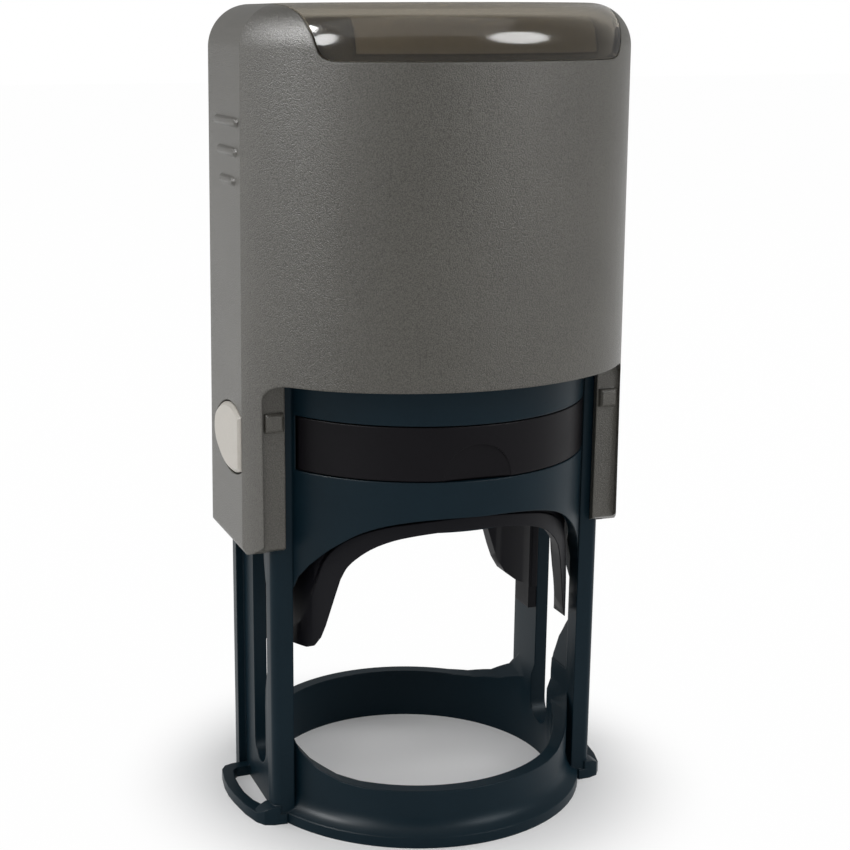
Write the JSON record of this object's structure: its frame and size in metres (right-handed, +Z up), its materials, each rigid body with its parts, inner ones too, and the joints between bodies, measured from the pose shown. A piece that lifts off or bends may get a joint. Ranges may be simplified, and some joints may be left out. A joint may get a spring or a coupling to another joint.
{
  "type": "self-inking round stamp",
  "caption": "Round self-inking desk stamp: a housing with a clear index window slides down over a slotted frame and turns the text plate from ink pad to paper.",
  "frame": {"origin": "middle of the base ring on the desk", "axes": "+Z up along the press stroke, front of the stamp towards -Y, axle of the text plate along X"},
  "size_m": [0.06, 0.0566, 0.1187],
  "materials": {
    "housing_plastic": "fine-grained moulded plastic",
    "frame_plastic": "satin moulded plastic",
    "liner_plastic": "satin moulded plastic",
    "cartridge_plastic": "satin moulded plastic",
    "window_clear": "smoked clear plastic",
    "card": "plain card",
    "ink_pad": "inked felt",
    "cushion": "closed-cell foam",
    "die_rubber": "moulded rubber",
    "steel": "drawn wire and pin",
    "button_plastic": "smooth moulded plastic"
  },
  "bodies": {
    "frame": {"frame": "frame_plastic", "inner_liner": "liner_plastic", "main_spring": "steel", "ink_cartridge": "cartridge_plastic", "ink_pad": "ink_pad"},
    "housing": {"housing": "housing_plastic", "index_card": "card", "spring_cap": "frame_plastic", "guide_block_right": "frame_plastic", "guide_block_left": "frame_plastic", "button_spring_right": "steel", "button_spring_left": "steel"},
    "platen": {"platen": "frame_plastic", "die_cushion": "cushion", "text_die": "die_rubber", "axle_pin_right": "steel", "axle_pin_left": "steel"},
    "window": {"window_cover": "window_clear"},
    "button_right": {"release_button_right": "button_plastic"},
    "button_left": {"release_button_left": "button_plastic"}
  },
  "joints": [
    {"name": "press_slide", "type": "slide", "parent": "frame", "child": "housing", "axis": [0, 0, -1], "range_m": [0, 0.038], "stiffness_N_per_m": 400, "springref_m": -0.02, "deforming": ["main_spring"]},
    {"name": "platen_flip", "type": "hinge", "parent": "housing", "child": "platen", "pos_m": [0, 0, 0.0477], "axis": [1, 0, 0], "range_deg": [0, 180]},
    {"name": "window_lift", "type": "slide", "parent": "housing", "child": "window", "axis": [0, 0, 1], "range_m": [0, 0.01]},
    {"name": "release_button_right_push", "type": "slide", "parent": "housing", "child": "button_right", "axis": [-1, 0, 0], "range_m": [0, 0.001], "stiffness_N_per_m": 600, "springref_m": -0.0008},
    {"name": "release_button_left_push", "type": "slide", "parent": "housing", "child": "button_left", "axis": [1, 0, 0], "range_m": [0, 0.001], "stiffness_N_per_m": 600, "springref_m": -0.0008}
  ],
  "couplings": [
    {"joint": "platen_flip", "follows": "press_slide", "rad_per_m": 82.67}
  ]
}
